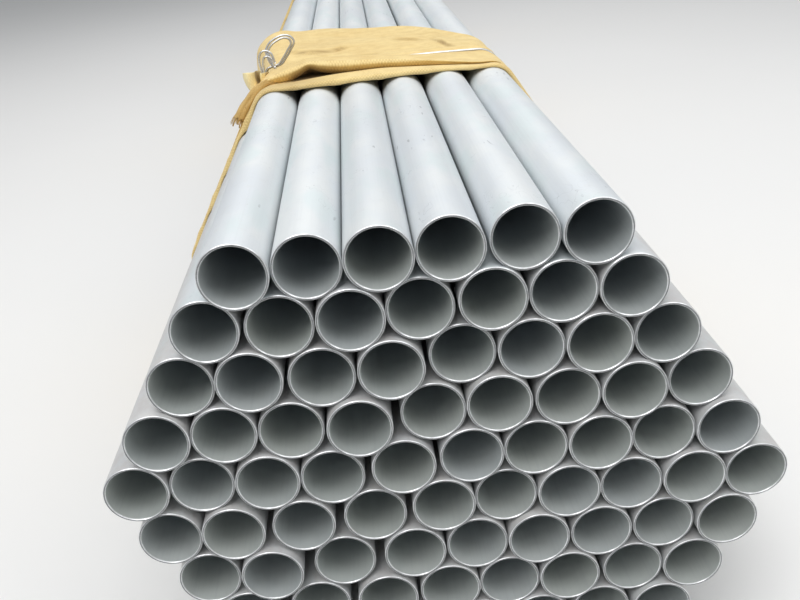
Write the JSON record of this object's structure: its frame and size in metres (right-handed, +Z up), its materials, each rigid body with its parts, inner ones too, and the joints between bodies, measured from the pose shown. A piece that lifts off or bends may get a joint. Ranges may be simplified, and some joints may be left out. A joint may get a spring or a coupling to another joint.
{
  "type": "bundle of steel pipes",
  "caption": "Six-sided stack of long round steel pipes with open ends, held by woven cloth wraps and doubled wire ties.",
  "frame": {"origin": "bottom centre of the bundle's box, on the floor that it lies on", "axes": "+Y along the pipes, away from the near ends; +Z up; +X to the right of someone who looks into the near ends"},
  "size_m": [0.8112, 6.015, 0.7254],
  "materials": {
    "pipe_steel": "pickled matt grey, lightly scuffed",
    "tie_wire_steel": "bright galvanised",
    "wrap_cloth": "woven plastic sacking, matt ochre"
  },
  "bodies": {
    "root": {"pipe_row_1": "pipe_steel", "pipe_row_2": "pipe_steel", "pipe_row_3": "pipe_steel", "pipe_row_4": "pipe_steel", "pipe_row_5": "pipe_steel", "pipe_row_6": "pipe_steel", "pipe_row_7": "pipe_steel", "pipe_row_8": "pipe_steel", "pipe_row_9": "pipe_steel", "pipe_row_10": "pipe_steel", "wrap_front": "wrap_cloth", "tie_wire_front": "tie_wire_steel", "wrap_middle": "wrap_cloth", "tie_wire_middle": "tie_wire_steel", "wrap_rear": "wrap_cloth", "tie_wire_rear": "tie_wire_steel"}
  },
  "joints": []
}
